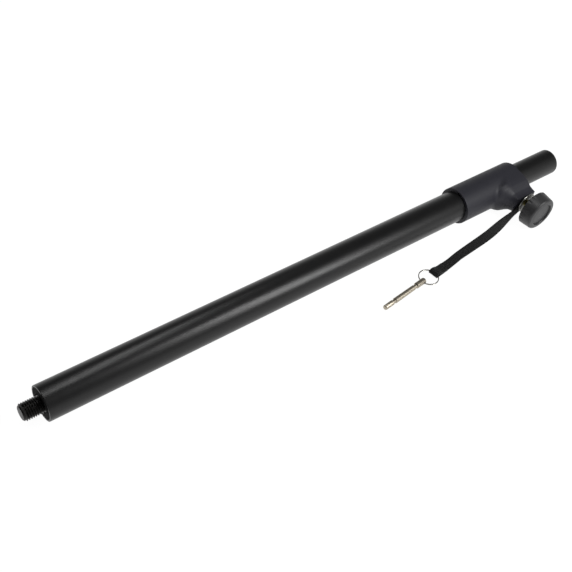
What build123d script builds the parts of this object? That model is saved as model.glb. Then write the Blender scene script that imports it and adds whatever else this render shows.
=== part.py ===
from build123d import *
import math
import os

# An adjustable speaker pole, lying on its side, collapsed and clamped.
# Its steel outer tube ends in a threaded stud that screws into a subwoofer or a stand.
# A slimmer mast slides out of a moulded collar, where a clamp knob presses a pad against it.
# A webbing lanyard on the clamp bolt carries a safety pin for the holes across the mast.
#
# All sizes are in millimetres. X runs along the pole from the stud's shoulder to the top,
# the clamp bolt points along -Y, and Z is up.

# Outer tube, closed at the bottom by a plug that carries the stud
TUBE_R = 20.65
TUBE_WALL = 2.0
TUBE_BORE = TUBE_R - TUBE_WALL
TUBE_TOP = 672.0
TUBE_EDGE = 0.5
EDGE_FLATS = 3
PLUG_LENGTH = 18.0
PRESS_GAP = 0.03
STUD_R = 10.0
STUD_LENGTH = 22.7
STUD_CHAMFER = 1.5
STUD_SPIGOT_R = 8.0
STUD_SPIGOT_LENGTH = 15.0
SPIGOT_END_GAP = 0.2
RECESS_DEPTH = 1.0
RECESS_GAP = 1.2
SPIGOT_FLOOR = RECESS_DEPTH + STUD_SPIGOT_LENGTH

# Mast, with its plugs and the loose sleeve that stops it at full height
MAST_R = 17.5
MAST_WALL = 1.5
MAST_BORE = MAST_R - MAST_WALL
MAST_BOTTOM = 30.0
MAST_TOP = 785.2
SLIDE_GAP = 0.08
PIN_HOLE_R = 3.5
PIN_HOLE_PITCH = 80.0
PIN_HOLE_COUNT = 7
PIN_HOLE_FIRST = 676.0
CAP_HEAD = 4.1
CAP_EDGE = 2.4
CAP_STEM = 16.0
CAP_WALL = 2.2
BUSH_BOTTOM = 20.2
BUSH_STEM = 20.0
SLEEVE_LENGTH = 60.0
SLEEVE_SLIT = 2.0

# Collar, moulded in nylon, with the boss for the clamp bolt
COLLAR_R = 24.8
COLLAR_BOTTOM = 599.0
COLLAR_TOP = 708.0
COLLAR_STEP = 673.0
COLLAR_EDGE = 0.6
BOLT_X = 693.0
BOSS_FACE = 43.4

# Boss cross-sections at growing distance from the pole's axis: distance, nearest point of the
# rounded stud side, where the flat top begins, and half height
BOSS_SECTIONS = [
    (2.1, 660.8, 685.6, 24.6),
    (12.4, 656.7, 682.5, 24.2),
    (19.6, 650.5, 680.4, 23.1),
    (25.3, 654.1, 679.0, 21.3),
    (29.9, 661.4, 677.7, 17.8),
    (34.1, 666.0, 676.7, 14.2),
    (38.7, 669.3, 675.7, 12.4),
    (43.4, 670.7, 674.4, 11.6),
]

# Clamp: knob, bolt, captive nut, pressure pad and washer, by distance from the pole's axis
BOLT_R = 4.95
NUT_BORE = 5.0
NUT_FLATS = 17.0
NUT_START = 25.2
NUT_HEIGHT = 8.0
SLOT_GAP = 0.15
BOLT_HOLE_R = 5.4
PAD_R = 8.0
PAD_SEAT = 17.7
PAD_BACK = 22.0
DOG_R = 3.9
DOG_START = 20.6
DOG_SOCKET_R = 4.0
DOG_SOCKET_FLOOR = 20.5
SHANK_START = 22.3
WASHER_R = 14.4
WASHER_START = 45.8
WASHER_HEIGHT = 1.5
KNOB_BACK = 56.4
KNOB_FRONT = 74.4
KNOB_BACK_R = 24.8
KNOB_FRONT_R = 23.1
KNOB_EDGE = 3.3
KNOB_DISH = 0.9
KNOB_LIP = 1.6
KNOB_BACK_EDGE = 0.8
KNOB_WALL = 3.4
KNOB_FLOOR = 68.2
KNOB_RIBS = 6
KNOB_RIB_WIDTH = 1.8
KNOB_RIB_SETBACK = 1.2
HUB_R = 10.6
HUB_BACK = 53.7
FLUTES = 18
FLUTE_R = 3.2
FLUTE_DEPTH = 0.7
HEAD_START = 64.2
HEAD_HEIGHT = 6.4
CAP_R = 15.5
CAP_START = 71.4
CAP_THICKNESS = 1.7

# Screws that hold the collar on the outer tube, on the side away from the knob
SCREW_XS = (617.5, 655.0)
SCREW_R = 2.0
SCREW_HEAD_R = 3.7
SCREW_HEAD_HEIGHT = 2.0
SCREW_TIP = TUBE_BORE + 0.2

# Lanyard: webbing from the clamp bolt to the split ring, lying on the floor
FLOOR = -COLLAR_R
WEB_WIDTH = 12.7
WEB_THICKNESS = 1.6
TAB_START = 43.45
TAB_THICKNESS = 2.3
TAB_LENGTH = 21.7
TAB_ANGLE = 30.0
TAB_EYE_R = 9.3
TAB_HOLE_R = 5.3

# The free stretch's centre line from the tab to the sewn fold, with the web's tilt in degrees:
# 90 stands on edge and faces the knob side, 0 lies flat
ROUTE = [
    ((674.19, -44.60, -10.86), 90.0),
    ((667.955, -44.60, -14.46), 82.0),
    ((657.70, -45.64, -17.45), 66.0),
    ((646.86, -47.39, -18.79), 50.0),
    ((635.50, -49.35, -19.82), 38.0),
    ((623.11, -51.21, -21.17), 24.0),
    ((608.66, -52.55, -22.41), 13.0),
    ((592.14, -53.90, -23.23), 6.0),
    ((574.07, -55.55, -23.85), 0.0),
    ((556.52, -57.92, -22.92), -8.0),
    ((540.942, -61.186, -22.65), -8.0),
    ((527.636, -62.767, -22.65), 0.0),
]
STATIONS_PER_RUN = 2

# Ring, fold and pin share one height above the floor
RING_HEIGHT = FLOOR + 3.9
LOOP_CENTRE = Vector(507.16, -65.20, RING_HEIGHT)
LOOP_HEADING = Vector(0.993, 0.118, 0).normalized()
LOOP_BORE = 2.3
LOOP_R = 3.35
FOLD_LENGTH = 20.6
FOLD_THICKNESS = 3.2
RING_R = 12.7
RING_OFFSET = 11.8
WIRE_WIDTH = 1.2
WIRE_HEIGHT = 1.15

# Safety pin, from its head to its tip
PIN_LENGTH = 75.4
PIN_HEAD_END = 8.6
PIN_HEAD_R = 3.9
PIN_HEAD_LENGTH = 16.0
PIN_R = 3.3
PIN_WAIST_R = 2.5
PIN_WAIST = 4.6
PIN_TIP_WAIST_FROM_TIP = 19.1
PIN_CHAMFER = 1.0
PIN_TIP_CHAMFER = 1.5
PIN_SHOULDER = 0.8
PIN_EYE_FROM_HEAD = 3.8
PIN_EYE_R = 1.9


def rod(start, end, radius):
    """A solid cylinder along the pole's axis."""
    return Location(((start + end) / 2, 0, 0), (0, 90, 0)) * Cylinder(radius, end - start)


def pipe(start, end, outer, inner):
    """A hollow cylinder along the pole's axis."""
    return rod(start, end, outer) - rod(start - 1, end + 1, inner)


def clamp_frame(distance=0.0):
    """A frame on the clamp bolt's axis whose Z points away from the pole and whose Y is up."""
    return Plane((BOLT_X, -distance, 0), x_dir=(1, 0, 0), z_dir=(0, -1, 0))


def post(start, end, radius):
    """A solid cylinder on the clamp bolt's axis, by distance from the pole's axis."""
    return extrude(clamp_frame(start) * Circle(radius), end - start)


def hexagon(start, end, flats):
    """A hexagonal bar on the clamp bolt's axis, with two flats facing up and down."""
    outline = RegularPolygon(flats / 2, 6, major_radius=False, rotation=0)
    return extrude(clamp_frame(start) * outline, end - start)


def side_hole(x, radius, start, end):
    """A cylinder that crosses the pole from the side opposite the knob."""
    plane = Plane((x, start, 0), x_dir=(1, 0, 0), z_dir=(0, 1, 0))
    return extrude(plane * Circle(radius), end - start)


def rounded_edge(radius, top, size):
    """Points that take a wall at this radius over to a flat top, rounded in EDGE_FLATS flats."""
    turns = [math.radians(90 * index / EDGE_FLATS) for index in range(EDGE_FLATS + 1)]
    return [
        (radius - size + size * math.cos(turn), top - size + size * math.sin(turn))
        for turn in turns
    ]


def outer_tube():
    body = pipe(0, TUBE_TOP, TUBE_R, TUBE_BORE)
    rim = body.edges().filter_by(GeomType.CIRCLE).group_by(Axis.X)[0].sort_by(SortBy.RADIUS)[-1]
    body = chamfer(rim, TUBE_EDGE)
    for x in SCREW_XS:
        body -= side_hole(x, SCREW_R + PRESS_GAP, TUBE_BORE - 2, TUBE_R + 2)
    return body


def base_plug():
    """The shallow recess round the stud lets the face lie flat on what the stud screws into."""
    body = rod(0, PLUG_LENGTH, TUBE_BORE - PRESS_GAP)
    body -= rod(-1, RECESS_DEPTH, STUD_R + RECESS_GAP)
    return body - rod(0, SPIGOT_FLOOR + SPIGOT_END_GAP, STUD_SPIGOT_R + PRESS_GAP)


def threaded_stud():
    """A plain bar at the thread's full diameter, with a slimmer end pressed into the plug."""
    body = rod(-STUD_LENGTH, RECESS_DEPTH, STUD_R)
    body = chamfer(body.edges().group_by(Axis.X)[0], STUD_CHAMFER)
    return body + rod(RECESS_DEPTH, SPIGOT_FLOOR, STUD_SPIGOT_R)


def inner_tube():
    body = pipe(MAST_BOTTOM, MAST_TOP, MAST_R, MAST_BORE)
    for index in range(PIN_HOLE_COUNT):
        x = PIN_HOLE_FIRST - index * PIN_HOLE_PITCH
        body -= Location((x, 0, 0)) * Cylinder(PIN_HOLE_R, 2 * MAST_R + 2)
    return body


def top_cap():
    rim = rounded_edge(MAST_R, MAST_TOP + CAP_HEAD, CAP_EDGE)
    outline = Polyline((0, MAST_TOP), (MAST_R, MAST_TOP), *rim, (0, MAST_TOP + CAP_HEAD), (0, MAST_TOP))
    head = Rot(0, 90, 0) * revolve(Plane.XZ * make_face(outline), Axis.Z)
    stem = rod(MAST_TOP - CAP_STEM, MAST_TOP, MAST_BORE - PRESS_GAP)
    stem = chamfer(stem.edges().group_by(Axis.X)[0], 0.6)
    hollow = rod(MAST_TOP - CAP_STEM - 1, MAST_TOP - 1, MAST_BORE - CAP_WALL)
    return head + stem - hollow


def guide_bush():
    flange = rod(BUSH_BOTTOM, MAST_BOTTOM, TUBE_BORE - SLIDE_GAP)
    flange = chamfer(flange.edges().group_by(Axis.X)[0], 0.8)
    stem = rod(MAST_BOTTOM, MAST_BOTTOM + BUSH_STEM, MAST_BORE - PRESS_GAP)
    hollow = rod(BUSH_BOTTOM - 1, MAST_BOTTOM + BUSH_STEM + 1, MAST_BORE - 3.2)
    return flange + stem - hollow


def stop_sleeve():
    start = MAST_BOTTOM + 0.2
    body = pipe(start, start + SLEEVE_LENGTH, TUBE_BORE - SLIDE_GAP, MAST_R + SLIDE_GAP)
    slit = Location((start + SLEEVE_LENGTH / 2, 0, -TUBE_R)) * Box(SLEEVE_LENGTH + 2, SLEEVE_SLIT, TUBE_R)
    return body - slit


def boss_section(distance, nose, ridge, half_height):
    """One outline of the boss, seen along the bolt: flat top and bottom, flat end, round nose."""
    end = COLLAR_TOP + 4
    top = Vector(ridge - BOLT_X, half_height)
    bottom = Vector(ridge - BOLT_X, -half_height)
    outline = Polyline(top, (end - BOLT_X, half_height), (end - BOLT_X, -half_height), bottom)
    outline += ThreePointArc(bottom, (nose - BOLT_X, 0), top)
    return clamp_frame(distance) * make_face(outline)


def collar_boss():
    body = loft([boss_section(*section) for section in BOSS_SECTIONS], ruled=True)
    return split(body, Plane((COLLAR_TOP, 0, 0), z_dir=(-1, 0, 0)), keep=Keep.TOP)


def collar():
    shell = rod(COLLAR_BOTTOM, COLLAR_TOP, COLLAR_R)
    body = shell + collar_boss()
    body -= rod(COLLAR_BOTTOM - 1, COLLAR_STEP, TUBE_R + PRESS_GAP)
    body -= rod(COLLAR_STEP - 1, COLLAR_TOP + 1, MAST_R + SLIDE_GAP)
    body -= post(0, NUT_START, PAD_R + SLIDE_GAP)
    body -= post(NUT_START - 1, BOSS_FACE + 1, BOLT_HOLE_R)
    body -= nut_slot()
    for x in SCREW_XS:
        body -= screw(x, PRESS_GAP)
    mouth = body.edges().filter_by(GeomType.CIRCLE).group_by(Axis.X)[0].sort_by(SortBy.RADIUS)[-1:]
    return chamfer(mouth, COLLAR_EDGE)


def nut_slot():
    """The pocket for the captive nut, open at the collar's top end where the nut slides in."""
    flats = NUT_FLATS + 2 * SLOT_GAP
    start = NUT_START
    end = NUT_START + NUT_HEIGHT + SLOT_GAP
    reach = COLLAR_TOP + 1 - BOLT_X
    mouth = Location((reach / 2, 0)) * Rectangle(reach, flats)
    return hexagon(start, end, flats) + extrude(clamp_frame(start) * mouth, end - start)


def screw(x, gap=0.0):
    """A countersunk self-tapping screw through the collar into the outer tube."""
    head_start = COLLAR_R - SCREW_HEAD_HEIGHT
    shank = side_hole(x, SCREW_R + gap, SCREW_TIP - gap, COLLAR_R - 0.3)
    cone = Location((x, head_start + SCREW_HEAD_HEIGHT / 2 - 0.3, 0), (-90, 0, 0)) * Cone(
        SCREW_R + gap, SCREW_HEAD_R + gap, SCREW_HEAD_HEIGHT
    )
    if gap:
        cone += side_hole(x, SCREW_HEAD_R + gap, COLLAR_R - 0.3, COLLAR_R + 1)
    return shank + cone


def collar_screws():
    return Compound(children=[screw(x) for x in SCREW_XS])


def clamp_nut():
    body = hexagon(NUT_START + SLOT_GAP / 2, NUT_START + NUT_HEIGHT, NUT_FLATS)
    round_off = post(NUT_START - 1, NUT_START + NUT_HEIGHT + 1, NUT_FLATS / 2 * 1.1)
    return (body & round_off) - post(NUT_START - 1, NUT_START + NUT_HEIGHT + 1, NUT_BORE)


def pressure_pad():
    body = post(MAST_R - 4, PAD_BACK, PAD_R)
    body = chamfer(body.edges().filter_by(GeomType.CIRCLE).sort_by(Axis.Y)[:1], 0.5)
    body -= rod(BOLT_X - 20, BOLT_X + 20, PAD_SEAT)
    return body - post(DOG_SOCKET_FLOOR, PAD_BACK + 1, DOG_SOCKET_R)


def clamp_bolt():
    body = post(SHANK_START, HEAD_START, BOLT_R)
    body += post(DOG_START, SHANK_START, DOG_R)
    head = hexagon(HEAD_START, HEAD_START + HEAD_HEIGHT, NUT_FLATS)
    return body + (head & post(HEAD_START, HEAD_START + HEAD_HEIGHT, NUT_FLATS / 2 * 1.1))


def knob_blank():
    """The knob's outer form: a slightly tapered drum with a rounded front edge and a dished face."""
    taper = (KNOB_BACK_R - KNOB_FRONT_R) / (KNOB_FRONT - KNOB_BACK)
    side_top = KNOB_FRONT - KNOB_EDGE
    side_top_r = KNOB_BACK_R - taper * (side_top - KNOB_BACK)
    rim = rounded_edge(side_top_r, KNOB_FRONT, KNOB_EDGE)
    outline = Polyline(
        (0, KNOB_BACK),
        (KNOB_BACK_R - KNOB_BACK_EDGE, KNOB_BACK),
        (KNOB_BACK_R, KNOB_BACK + KNOB_BACK_EDGE),
        *rim,
        (CAP_R + KNOB_LIP, KNOB_FRONT - KNOB_DISH),
        (0, KNOB_FRONT - KNOB_DISH),
        (0, KNOB_BACK),
    )
    drum = revolve(Plane.XZ * make_face(outline), Axis.Z)
    return clamp_frame().location * drum


def knob():
    body = knob_blank()
    cavity = post(KNOB_BACK - 1, KNOB_FLOOR, KNOB_BACK_R - KNOB_WALL)
    cavity -= post(KNOB_BACK - 2, KNOB_FLOOR, HUB_R)
    rib = Location(((HUB_R + KNOB_BACK_R) / 2, 0)) * Rectangle(KNOB_BACK_R - HUB_R, KNOB_RIB_WIDTH)
    for index in range(KNOB_RIBS):
        turned = Rot(0, 0, (index + 0.5) * 360 / KNOB_RIBS) * rib
        cavity -= extrude(clamp_frame(KNOB_BACK + KNOB_RIB_SETBACK) * turned, KNOB_FLOOR - KNOB_BACK)
    body -= cavity
    body += post(HUB_BACK, KNOB_FLOOR, HUB_R)
    for index in range(FLUTES):
        angle = math.radians((index + 0.5) * 360 / FLUTES)
        reach = KNOB_BACK_R + FLUTE_R - FLUTE_DEPTH
        centre = Location((reach * math.cos(angle), reach * math.sin(angle)))
        body -= extrude(clamp_frame(KNOB_BACK - 1) * centre * Circle(FLUTE_R), KNOB_FRONT - KNOB_BACK + 2)
    body -= post(HUB_BACK - 1, HEAD_START, BOLT_R + PRESS_GAP)
    body -= hexagon(HEAD_START, CAP_START, NUT_FLATS + 2 * PRESS_GAP)
    return body - post(CAP_START, KNOB_FRONT + 1, CAP_R + PRESS_GAP)


def knob_cap():
    body = post(CAP_START, CAP_START + CAP_THICKNESS, CAP_R)
    return chamfer(body.edges().sort_by(Axis.Y)[:1], 0.35)


def washer():
    body = post(WASHER_START, WASHER_START + WASHER_HEIGHT, WASHER_R)
    return body - post(WASHER_START - 1, WASHER_START + 3, BOLT_HOLE_R)


def strap_tab():
    """The doubled and sewn end of the webbing, opened to an eye round the clamp bolt."""
    leg = Rot(0, 0, 180 + TAB_ANGLE) * Location((TAB_LENGTH / 2, 0)) * Rectangle(TAB_LENGTH, WEB_WIDTH)
    outline = Circle(TAB_EYE_R) + leg - Circle(TAB_HOLE_R)
    return extrude(clamp_frame(TAB_START) * outline, TAB_THICKNESS)


def corner_radii(points):
    """The largest gentle arc at each corner of a route: 0.45 of the shorter run sets its reach."""
    radii = []
    for before, corner, after in zip(points, points[1:], points[2:]):
        first = corner - before
        second = after - corner
        half_turn = math.radians(first.get_angle(second) / 2)
        radii.append(0.45 * min(first.length, second.length) / math.tan(half_turn))
    return radii


def web_section(point, heading, tilt):
    """The webbing's rectangle square to its heading, rolled by the tilt."""
    level = Vector(0, 0, 1).cross(heading).normalized()
    if level.Y < 0:
        level = -level
    rise = heading.cross(level).normalized()
    if rise.Z < 0:
        rise = -rise
    angle = math.radians(tilt)
    across = level * math.cos(angle) + rise * math.sin(angle)
    return Plane(point, x_dir=across, z_dir=heading) * Rectangle(WEB_WIDTH, WEB_THICKNESS)


def lanyard_strap():
    points = [Vector(*point) for point, tilt in ROUTE]
    tilts = [tilt for point, tilt in ROUTE]
    radii = corner_radii(points)
    path = FilletPolyline(*points, radius=radii)
    print("lanyard radii", [round(radius) for radius in radii], "length", round(path.length, 1))
    runs = [(after - before).length for before, after in zip(points, points[1:])]
    total = sum(runs)
    sections = []
    for index, run in enumerate(runs):
        for step in range(STATIONS_PER_RUN):
            share = step / STATIONS_PER_RUN
            place = (sum(runs[:index]) + share * run) / total
            tilt = tilts[index] + share * (tilts[index + 1] - tilts[index])
            sections.append(web_section(path.position_at(place), path.tangent_at(place), tilt))
    sections.append(web_section(path.position_at(1), path.tangent_at(1), tilts[-1]))
    body = loft(sections, ruled=True)
    print("lanyard volume", round(body.volume), "of", round(path.length * WEB_WIDTH * WEB_THICKNESS))
    return body


def loop_frame():
    """A frame in the loop's bore: X towards the strap, Y up, Z across the webbing."""
    return Plane(LOOP_CENTRE, x_dir=LOOP_HEADING, z_dir=LOOP_HEADING.cross(Vector(0, 0, 1)))


def strap_fold():
    """The webbing's other end, folded round the ring and sewn on itself."""
    middle = -LOOP_R + FOLD_THICKNESS / 2
    sewn = Location((FOLD_LENGTH - 4, middle)) * Rectangle(8, FOLD_THICKNESS)
    outline = make_hull((Circle(LOOP_R) + sewn).edges()) - Circle(LOOP_BORE)
    return extrude(loop_frame() * outline, WEB_WIDTH / 2, both=True)


def ring_centre():
    return LOOP_CENTRE - LOOP_HEADING * RING_OFFSET


def split_ring():
    """Two turns of flat wire, one on the other."""
    section = Location((RING_R, 0)) * Rectangle(WIRE_WIDTH, 2 * WIRE_HEIGHT)
    return Location(ring_centre()) * revolve(Plane.XZ * section, Axis.Z)


def pin_frame():
    """A frame at the pin's head end, whose Z runs to the tip and whose X is up."""
    return Plane(ring_centre() - LOOP_HEADING * PIN_HEAD_END, x_dir=(0, 0, 1), z_dir=-LOOP_HEADING)


def pin_waist(start):
    """The ring of metal that is turned away for a waist, with sloping shoulders."""
    end = start + PIN_WAIST
    outline = Polyline(
        (PIN_HEAD_R + 1, start),
        (PIN_HEAD_R, start),
        (PIN_WAIST_R, start + PIN_SHOULDER),
        (PIN_WAIST_R, end - PIN_SHOULDER),
        (PIN_R, end),
        (PIN_HEAD_R + 1, end),
        (PIN_HEAD_R + 1, start),
    )
    return revolve(Plane.XZ * make_face(outline), Axis.Z)


def locking_pin():
    stock = Polyline(
        (0, 0),
        (PIN_HEAD_R - PIN_CHAMFER, 0),
        (PIN_HEAD_R, PIN_CHAMFER),
        (PIN_HEAD_R, PIN_HEAD_LENGTH),
        (PIN_R, PIN_HEAD_LENGTH),
        (PIN_R, PIN_LENGTH - PIN_TIP_CHAMFER),
        (PIN_R - PIN_TIP_CHAMFER, PIN_LENGTH),
        (0, PIN_LENGTH),
        (0, 0),
    )
    body = revolve(Plane.XZ * make_face(stock), Axis.Z)
    for start in (PIN_HEAD_LENGTH, PIN_LENGTH - PIN_TIP_WAIST_FROM_TIP):
        body -= pin_waist(start)
    eye = Location((0, 0, PIN_EYE_FROM_HEAD), (90, 0, 0)) * Cylinder(PIN_EYE_R, 2 * PIN_HEAD_R + 2)
    return pin_frame().location * (body - eye)


PARTS = [
    outer_tube, base_plug, threaded_stud,
    inner_tube, top_cap, guide_bush, stop_sleeve,
    collar, collar_screws, clamp_nut, pressure_pad,
    clamp_bolt, knob, knob_cap, washer,
    strap_tab, lanyard_strap, strap_fold, split_ring, locking_pin,
]

os.makedirs("parts", exist_ok=True)
for make in PARTS:
    export_step(make(), f"parts/{make.__name__}.step")
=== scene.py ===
import math

import bmesh
import bpy
from mathutils import Matrix, Vector


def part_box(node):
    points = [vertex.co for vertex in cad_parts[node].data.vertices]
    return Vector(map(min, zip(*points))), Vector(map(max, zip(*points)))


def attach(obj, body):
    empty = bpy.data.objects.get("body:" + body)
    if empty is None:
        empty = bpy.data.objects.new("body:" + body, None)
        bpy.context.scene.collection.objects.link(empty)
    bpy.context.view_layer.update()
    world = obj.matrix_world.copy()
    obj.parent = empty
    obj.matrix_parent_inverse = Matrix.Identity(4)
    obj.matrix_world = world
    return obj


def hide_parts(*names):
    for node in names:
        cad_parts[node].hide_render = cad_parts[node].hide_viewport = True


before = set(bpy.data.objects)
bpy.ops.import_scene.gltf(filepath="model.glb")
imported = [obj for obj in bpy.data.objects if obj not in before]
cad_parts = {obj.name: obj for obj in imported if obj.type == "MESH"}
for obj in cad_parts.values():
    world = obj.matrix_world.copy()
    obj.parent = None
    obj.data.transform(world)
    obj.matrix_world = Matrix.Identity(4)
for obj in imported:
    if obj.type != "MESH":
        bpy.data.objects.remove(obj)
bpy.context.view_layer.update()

# A speaker pole lying on its side, collapsed and clamped: black coated tubes, a moulded collar with
# its clamp knob, and a safety pin on a webbing lanyard. Sizes are in millimetres until a piece is
# placed, and then in metres. X runs up the pole, the clamp bolt points along -Y, and Z is up.

MM = 0.001
WELD = 2e-6
SHARP = math.radians(32)

# The pole, from the frame
TUBE_LOW, TUBE_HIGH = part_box("outer_tube")
TUBE_LENGTH = TUBE_HIGH.x / MM
TUBE_R = TUBE_HIGH.z / MM
TUBE_WALL = 2.0
TUBE_RIM = 0.6
STUD_LOW, STUD_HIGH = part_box("threaded_stud")
STUD_R = STUD_HIGH.z / MM
STUD_TIP = STUD_LOW.x / MM
STUD_END = STUD_HIGH.x / MM
STUD_SHOULDER = 1.0
STUD_SPIGOT_R = 8.0
STUD_PITCH = 2.5
STUD_CHAMFER = 1.5
CAP_LOW, CAP_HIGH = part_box("top_cap")
CAP_STEM = CAP_LOW.x / MM
CAP_TIP = CAP_HIGH.x / MM
CAP_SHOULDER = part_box("inner_tube")[1].x / MM
CAP_EDGE = 2.4
CAP_STEM_R = 15.97
CAP_HOLLOW_R = 13.8
MAST_R = CAP_HIGH.z / MM

TUBE_GAP = 0.03
MAST_WALL = 1.5
MAST_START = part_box("inner_tube")[0].x / MM
MAST_GAP = 0.08
PIN_HOLE_R = 3.5
PIN_HOLE_XS = [676.0 - 80.0 * i for i in range(7)]

# The collar and its boss
COLLAR_R = -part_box("collar")[0].z / MM
COLLAR_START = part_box("collar")[0].x / MM
COLLAR_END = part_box("collar")[1].x / MM
COLLAR_STEP = 673.0
BOSS_FACE = -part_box("collar")[0].y / MM
SCREW_XS = (617.5, 655.0)
SCREW_HEAD_R = 3.7
SCREW_R = 2.0
SCREW_HEAD_HEIGHT = 2.0
# The boss's outlines: distance from the pole's axis, where its nose and its flat top's ridge are
# along the pole, and half its height
BOSS_SECTIONS = [
    (2.1, 660.8, 685.6, 24.6),
    (12.4, 656.7, 682.5, 23.0),
    (19.6, 650.5, 680.4, 21.6),
    (25.3, 654.1, 679.0, 19.6),
    (29.9, 661.4, 677.7, 16.8),
    (34.1, 666.0, 676.7, 13.9),
    (38.7, 669.3, 675.7, 12.4),
    (43.4, 670.7, 674.4, 11.6),
    (48.1, 671.4, 673.9, 11.2),
]
FILLET_REACH = 10.0
VOXEL = 0.8

# The clamp, by distance from the pole's axis
PAD_R = 8.0
BOLT_HOLE_R = 5.4
NUT_START = 25.2
NUT_SLOT_HEIGHT = 8.15
NUT_SLOT_FLATS = 17.3
WASHER_START = 45.8
WASHER_HEIGHT = 1.5
WASHER_R = 14.4
BOLT_X = (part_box("washer")[0].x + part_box("washer")[1].x) / 2 / MM
KNOB_BACK = 56.4
KNOB_FRONT = 74.4
KNOB_BACK_R = 24.8
KNOB_FRONT_R = 23.1
KNOB_EDGE = 3.3
KNOB_DISH = 0.9
CAP_SEAT_R = 15.53
BOLT_CLEARANCE = 0.03
CAP_SEAT = 71.4
KNOB_WALL = 3.4
KNOB_FLOOR = 68.2
HUB_R = 10.6
HUB_BACK = 53.7
FLUTES = 18
FLUTE_DEPTH = 0.7
FLUTE_R = 3.2
KNOB_RIBS = 6
KNOB_RIB_WIDTH = 1.8
KNOB_BACK_EDGE = 0.8
KNOB_LIP = 1.6
DISC_R = 15.5
DISC_THICKNESS = 1.7
BOLT_R = 4.95
BOLT_PITCH = 1.5
BOLT_START = 22.3
DOG_START = 20.6
DOG_R = 3.9
HEAD_START = 64.2
HEAD_HEIGHT = 6.4
HEAD_FLATS = 17.0

# The lanyard, lying on the floor
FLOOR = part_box("collar")[0].z / MM
WEB_WIDTH = 12.7
WEB_THICKNESS = 1.6
THREAD_PITCH = 1.1
STITCH = 2.2
TAB_START = 43.45
TAB_THICKNESS = 2.3
TAB_LENGTH = 21.7
TAB_ANGLE = 30.0
TAB_EYE_R = 9.3
TAB_HOLE_R = 5.3
LOOP_CENTRE = Vector((507.16, -65.20, FLOOR + 3.9))
LOOP_HEADING = Vector((0.993, 0.118, 0)).normalized()
LOOP_BORE = 2.3
LOOP_R = 3.35
FOLD_LENGTH = 20.6
FOLD_COLUMNS = 8
RING_CENTRE = LOOP_CENTRE - LOOP_HEADING * 11.8
RING_R = 12.7
WIRE_WIDTH = 1.2
WIRE_HEIGHT = 0.74
RING_HEIGHT = 2.3
PIN_HEAD = RING_CENTRE - LOOP_HEADING * 8.6
PIN_LENGTH = 75.4
PIN_HEAD_R = 3.9
PIN_HEAD_LENGTH = 16.0
PIN_R = 3.3
PIN_WAIST_R = 2.5
PIN_WAIST = 4.6
PIN_SECOND_WAIST = 56.3
PIN_EYE_FROM_HEAD = 3.8
PIN_EYE_R = 1.9

# The webbing's centre line from the sewn tab to the sewn fold, with its tilt in degrees:
# 90 stands on edge and faces the knob side, 0 lies flat
ROUTE = [
    ((674.19, -44.60, -10.86), 90.0),
    ((667.955, -44.60, -14.46), 82.0),
    ((657.70, -45.64, -17.45), 66.0),
    ((646.86, -47.39, -18.79), 50.0),
    ((635.50, -49.35, -19.82), 38.0),
    ((623.11, -51.21, -21.17), 24.0),
    ((608.66, -52.55, -22.41), 13.0),
    ((592.14, -53.90, -23.23), 6.0),
    ((574.07, -55.55, -23.85), 0.0),
    ((556.52, -57.92, -22.92), -8.0),
    ((540.942, -61.186, -22.65), -8.0),
    ((527.636, -62.767, -22.65), 0.0),
]


# Frames: each takes a form made round its own Z axis to its place on the object

def frame_at(origin, x_dir, z_dir):
    """A placing matrix, in millimetres, from an origin and two directions."""
    z = Vector(z_dir).normalized()
    x = Vector(x_dir).normalized()
    y = z.cross(x)
    turn = Matrix((x, y, z)).transposed().to_4x4()
    return Matrix.Translation(origin) @ turn


POLE_AXIS = frame_at((0, 0, 0), (0, 0, -1), (1, 0, 0))
CLAMP_AXIS = frame_at((BOLT_X, 0, 0), (1, 0, 0), (0, -1, 0))
PIN_AXIS = frame_at(PIN_HEAD, (0, 0, 1), -LOOP_HEADING)
LOOP_AXIS = frame_at(LOOP_CENTRE, LOOP_HEADING, LOOP_HEADING.cross(Vector((0, 0, 1))))
RING_AXIS = frame_at(RING_CENTRE, LOOP_HEADING, (0, 0, 1))


# Materials

def colour(code):
    """A colour written as sRGB hex, in the linear values that a shader takes."""
    parts = [int(code[i:i + 2], 16) / 255 for i in (1, 3, 5)]
    linear = [c / 12.92 if c <= 0.04045 else ((c + 0.055) / 1.055) ** 2.4 for c in parts]
    return (*linear, 1.0)


def add(tree, kind, inputs=None, **settings):
    """Adds a node, sets its properties, and fills its inputs with values or links."""
    made = tree.nodes.new(kind)
    for name, value in settings.items():
        setattr(made, name, value)
    for name, value in (inputs or {}).items():
        if isinstance(value, bpy.types.NodeSocket):
            tree.links.new(value, made.inputs[name])
        else:
            made.inputs[name].default_value = value
    return made


def blank_material(name):
    """An empty material with its output, its shader and the object's own coordinates."""
    material = bpy.data.materials.new(name)
    material.use_nodes = True
    tree = material.node_tree
    tree.nodes.clear()
    shader = add(tree, "ShaderNodeBsdfPrincipled")
    output = add(tree, "ShaderNodeOutputMaterial")
    tree.links.new(shader.outputs["BSDF"], output.inputs["Surface"])
    place = add(tree, "ShaderNodeTexCoord").outputs["Object"]
    return material, tree, shader, place


def two_tones(tree, shader, factor, first, second):
    """The base colour wanders between two close tones."""
    mix = add(tree, "ShaderNodeMix", {"Factor": factor}, data_type="RGBA")
    mix.inputs["A"].default_value = colour(first)
    mix.inputs["B"].default_value = colour(second)
    tree.links.new(mix.outputs["Result"], shader.inputs["Base Color"])


def roughness_between(tree, shader, factor, low, high):
    """The roughness wanders between two values."""
    spread = add(tree, "ShaderNodeMapRange", {"Value": factor, "To Min": low, "To Max": high})
    tree.links.new(spread.outputs["Result"], shader.inputs["Roughness"])


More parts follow.
